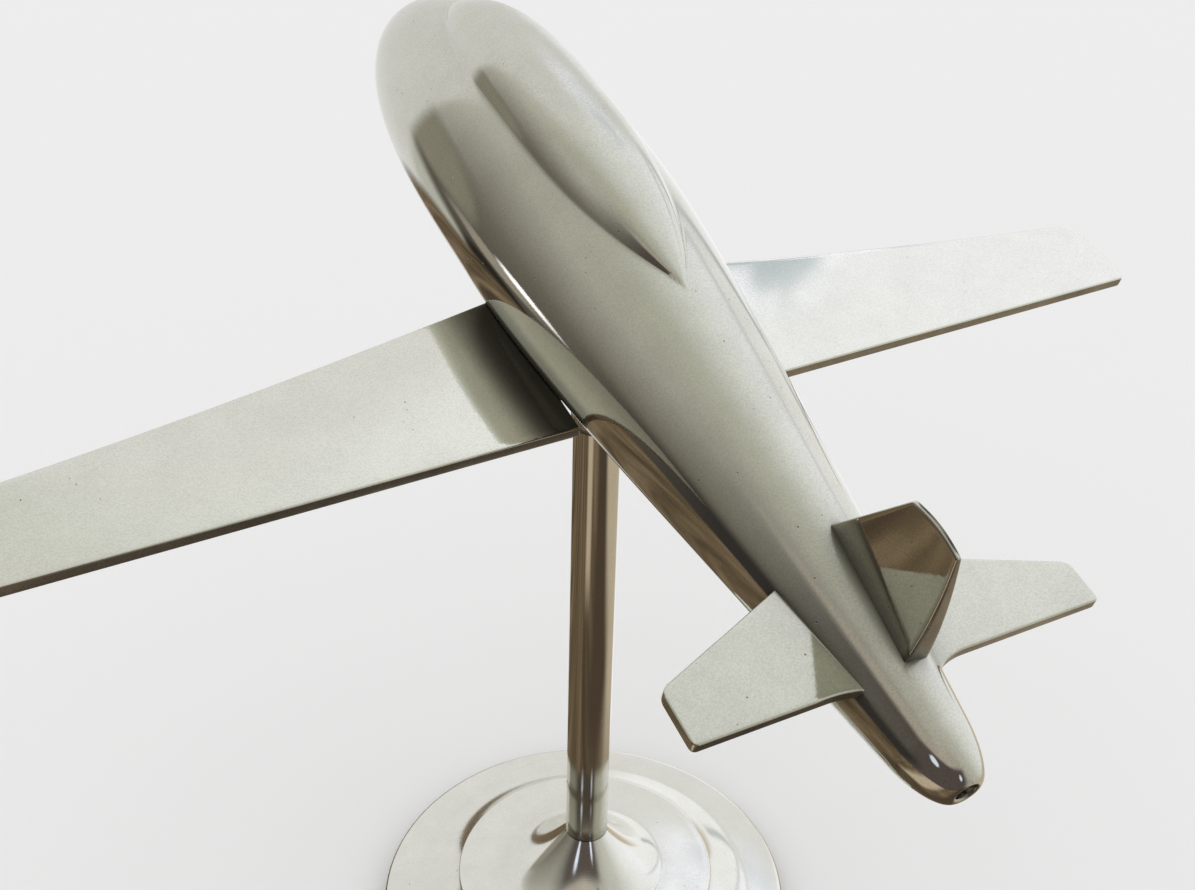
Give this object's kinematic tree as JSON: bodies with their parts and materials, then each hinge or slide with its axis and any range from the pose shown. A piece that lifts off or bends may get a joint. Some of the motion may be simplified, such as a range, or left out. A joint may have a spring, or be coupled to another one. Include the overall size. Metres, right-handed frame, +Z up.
{
  "type": "model jet plane on stand",
  "caption": "Polished cast-metal model of a straight-winged jet plane that turns on a slim round pole with a stepped round base.",
  "frame": {"origin": "centre of the base's underside, on the pole's axis", "axes": "+Z up along the pole, +Y towards the nose, +X to the plane's right wing"},
  "size_m": [0.3272, 0.266, 0.2649],
  "materials": {
    "polished_casting": "hand-polished sand casting with small pits",
    "turned_aluminium": "turned and polished",
    "steel_fastener": "plain"
  },
  "bodies": {
    "stand": {"base": "turned_aluminium", "base_stud": "steel_fastener", "base_washer": "steel_fastener", "lock_washer": "steel_fastener", "base_nut": "steel_fastener", "pole": "turned_aluminium", "thrust_washer": "steel_fastener", "swivel_screw": "steel_fastener", "spring_washer": "steel_fastener"},
    "plane": {"fuselage": "polished_casting", "left_wing": "polished_casting", "right_wing": "polished_casting", "wing_screws": "steel_fastener", "left_tailplane": "polished_casting", "right_tailplane": "polished_casting", "tail_pins": "steel_fastener", "fin": "polished_casting", "fin_pin": "steel_fastener", "swivel_boss": "turned_aluminium", "boss_grub_screw": "steel_fastener"}
  },
  "joints": [
    {"name": "plane_swivel", "type": "hinge", "parent": "stand", "child": "plane", "pos_m": [0, 0, 0.1753], "axis": [0, 0, 1], "continuous": true}
  ]
}
